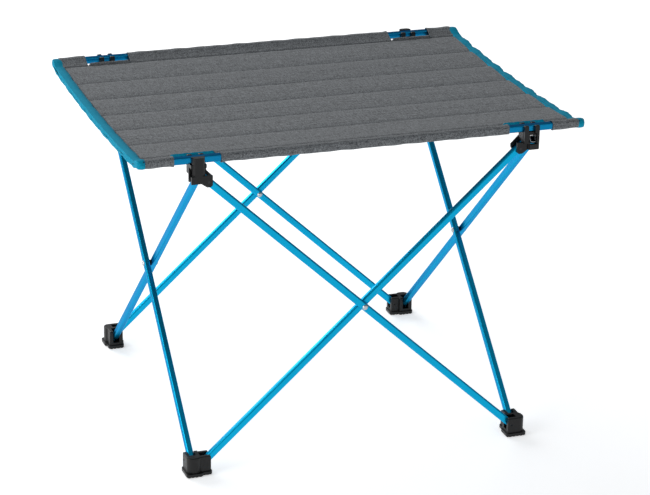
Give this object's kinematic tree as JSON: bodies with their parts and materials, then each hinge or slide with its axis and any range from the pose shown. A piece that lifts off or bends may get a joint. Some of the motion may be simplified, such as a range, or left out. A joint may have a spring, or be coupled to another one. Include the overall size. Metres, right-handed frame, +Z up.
{
  "type": "folding camp table",
  "caption": "Low folding camp table: fabric top slung between poles on a square scissor frame of crossed blue tube legs with moulded hubs and feet.",
  "frame": {"origin": "on the ground, under the centre of the table", "axes": "+X along the poles to the right, -Y the front, +Z up"},
  "size_m": [0.56, 0.4476, 0.4089],
  "materials": {
    "anodised_tube": "blue anodised, satin",
    "moulding": "moulded nylon, fine grain",
    "pin_steel": "turned",
    "washer": "moulded",
    "plug": "moulded",
    "grey_cloth": "woven polyester, melange",
    "teal_binding": "woven binding tape",
    "slat": "mill"
  },
  "bodies": {
    "foot_front_left": {"foot_front_left": "moulding", "foot_pins_front_left": "pin_steel"},
    "leg_front_inner": {"leg_front_inner": "anodised_tube", "rivet_front": "pin_steel", "washer_front": "washer"},
    "leg_front_outer": {"leg_front_outer": "anodised_tube"},
    "leg_left_outer": {"leg_left_outer": "anodised_tube", "rivet_left": "pin_steel", "washer_left": "washer"},
    "leg_left_inner": {"leg_left_inner": "anodised_tube"},
    "leg_rear_inner": {"leg_rear_inner": "anodised_tube", "rivet_rear": "pin_steel", "washer_rear": "washer"},
    "leg_rear_outer": {"leg_rear_outer": "anodised_tube"},
    "leg_right_outer": {"leg_right_outer": "anodised_tube", "rivet_right": "pin_steel", "washer_right": "washer"},
    "leg_right_inner": {"leg_right_inner": "anodised_tube"},
    "hub_front_left": {"hub_front_left": "moulding", "hub_pins_front_left": "pin_steel"},
    "foot_front_right": {"foot_front_right": "moulding", "foot_pins_front_right": "pin_steel"},
    "hub_front_right": {"hub_front_right": "moulding", "hub_pins_front_right": "pin_steel"},
    "foot_rear_left": {"foot_rear_left": "moulding", "foot_pins_rear_left": "pin_steel"},
    "hub_rear_left": {"hub_rear_left": "moulding", "hub_pins_rear_left": "pin_steel"},
    "foot_rear_right": {"foot_rear_right": "moulding", "foot_pins_rear_right": "pin_steel"},
    "hub_rear_right": {"hub_rear_right": "moulding", "hub_pins_rear_right": "pin_steel"},
    "top": {"binding_left": "teal_binding", "binding_right": "teal_binding", "cutout_binding_front_left": "teal_binding", "cutout_binding_front_right": "teal_binding", "cutout_binding_rear_left": "teal_binding", "cutout_binding_rear_right": "teal_binding", "hem_front_left": "grey_cloth", "hem_front_middle": "grey_cloth", "hem_front_right": "grey_cloth", "hem_rear_left": "grey_cloth", "hem_rear_middle": "grey_cloth", "hem_rear_right": "grey_cloth", "panel": "grey_cloth", "pole_front": "anodised_tube", "pole_plugs_front": "plug", "pole_plugs_rear": "plug", "pole_rear": "anodised_tube", "slat_1": "slat", "slat_2": "slat", "slat_3": "slat", "slat_4": "slat", "slat_5": "slat", "slat_6": "slat"}
  },
  "joints": [
    {"name": "leg_fold", "type": "hinge", "parent": "foot_front_left", "child": "leg_front_inner", "pos_m": [-0.197, -0.204, 0.0165], "axis": [0, -1, 0], "range_deg": [0, 45.57]},
    {"name": "front_crossing", "type": "hinge", "parent": "leg_front_inner", "child": "leg_front_outer", "pos_m": [0, -0.2085, 0.197], "axis": [0, 1, 0], "range_deg": [0, 91.14]},
    {"name": "hub_front_left_pivot", "type": "hinge", "parent": "leg_front_outer", "child": "hub_front_left", "pos_m": [-0.197, -0.213, 0.3775], "axis": [0, -1, 0], "range_deg": [0, 45.57]},
    {"name": "foot_front_right_pivot", "type": "hinge", "parent": "leg_front_outer", "child": "foot_front_right", "pos_m": [0.197, -0.213, 0.0165], "axis": [0, -1, 0], "range_deg": [0, 45.57]},
    {"name": "hub_front_right_pivot", "type": "hinge", "parent": "leg_front_inner", "child": "hub_front_right", "pos_m": [0.197, -0.204, 0.3775], "axis": [0, 1, 0], "range_deg": [0, 45.57]},
    {"name": "left_leg_pivot", "type": "hinge", "parent": "foot_front_left", "child": "leg_left_outer", "pos_m": [-0.213, -0.197, 0.0165], "axis": [1, 0, 0], "range_deg": [0, 45.57]},
    {"name": "left_crossing", "type": "hinge", "parent": "leg_left_outer", "child": "leg_left_inner", "pos_m": [-0.2085, 0, 0.197], "axis": [-1, 0, 0], "range_deg": [0, 91.14]},
    {"name": "foot_rear_left_pivot", "type": "hinge", "parent": "leg_left_inner", "child": "foot_rear_left", "pos_m": [-0.204, 0.197, 0.0165], "axis": [1, 0, 0], "range_deg": [0, 45.57]},
    {"name": "hub_rear_left_pivot", "type": "hinge", "parent": "leg_left_outer", "child": "hub_rear_left", "pos_m": [-0.213, 0.197, 0.3775], "axis": [-1, 0, 0], "range_deg": [0, 45.57]},
    {"name": "rear_leg_pivot", "type": "hinge", "parent": "hub_rear_left", "child": "leg_rear_inner", "pos_m": [-0.197, 0.204, 0.3775], "axis": [0, 1, 0], "range_deg": [0, 45.57]},
    {"name": "rear_crossing", "type": "hinge", "parent": "leg_rear_inner", "child": "leg_rear_outer", "pos_m": [0, 0.2085, 0.197], "axis": [0, -1, 0], "range_deg": [0, 91.14]},
    {"name": "hub_rear_right_pivot", "type": "hinge", "parent": "leg_rear_outer", "child": "hub_rear_right", "pos_m": [0.197, 0.213, 0.3775], "axis": [0, 1, 0], "range_deg": [0, 45.57]},
    {"name": "foot_rear_right_pivot", "type": "hinge", "parent": "leg_rear_inner", "child": "foot_rear_right", "pos_m": [0.197, 0.204, 0.0165], "axis": [0, -1, 0], "range_deg": [0, 45.57]},
    {"name": "right_leg_pivot", "type": "hinge", "parent": "hub_front_right", "child": "leg_right_outer", "pos_m": [0.213, -0.197, 0.3775], "axis": [-1, 0, 0], "range_deg": [0, 45.57]},
    {"name": "right_crossing", "type": "hinge", "parent": "leg_right_outer", "child": "leg_right_inner", "pos_m": [0.2085, 0, 0.197], "axis": [1, 0, 0], "range_deg": [0, 91.14]},
    {"name": "top_lift", "type": "slide", "parent": "hub_front_left", "child": "top", "axis": [0, 0, 1], "range_m": [0, 0.24]}
  ],
  "couplings": [
    {"joint": "front_crossing", "follows": "leg_fold", "ratio": 2},
    {"joint": "hub_front_left_pivot", "follows": "leg_fold", "ratio": 1},
    {"joint": "foot_front_right_pivot", "follows": "leg_fold", "ratio": 1},
    {"joint": "hub_front_right_pivot", "follows": "leg_fold", "ratio": 1},
    {"joint": "left_leg_pivot", "follows": "leg_fold", "ratio": 1},
    {"joint": "left_crossing", "follows": "leg_fold", "ratio": 2},
    {"joint": "foot_rear_left_pivot", "follows": "leg_fold", "ratio": 1},
    {"joint": "hub_rear_left_pivot", "follows": "leg_fold", "ratio": 1},
    {"joint": "rear_leg_pivot", "follows": "leg_fold", "ratio": 1},
    {"joint": "rear_crossing", "follows": "leg_fold", "ratio": 2},
    {"joint": "hub_rear_right_pivot", "follows": "leg_fold", "ratio": 1},
    {"joint": "foot_rear_right_pivot", "follows": "leg_fold", "ratio": 1},
    {"joint": "right_leg_pivot", "follows": "leg_fold", "ratio": 1},
    {"joint": "right_crossing", "follows": "leg_fold", "ratio": 2},
    {"joint": "top_lift", "follows": "leg_fold", "m_per_rad": 0.3}
  ]
}
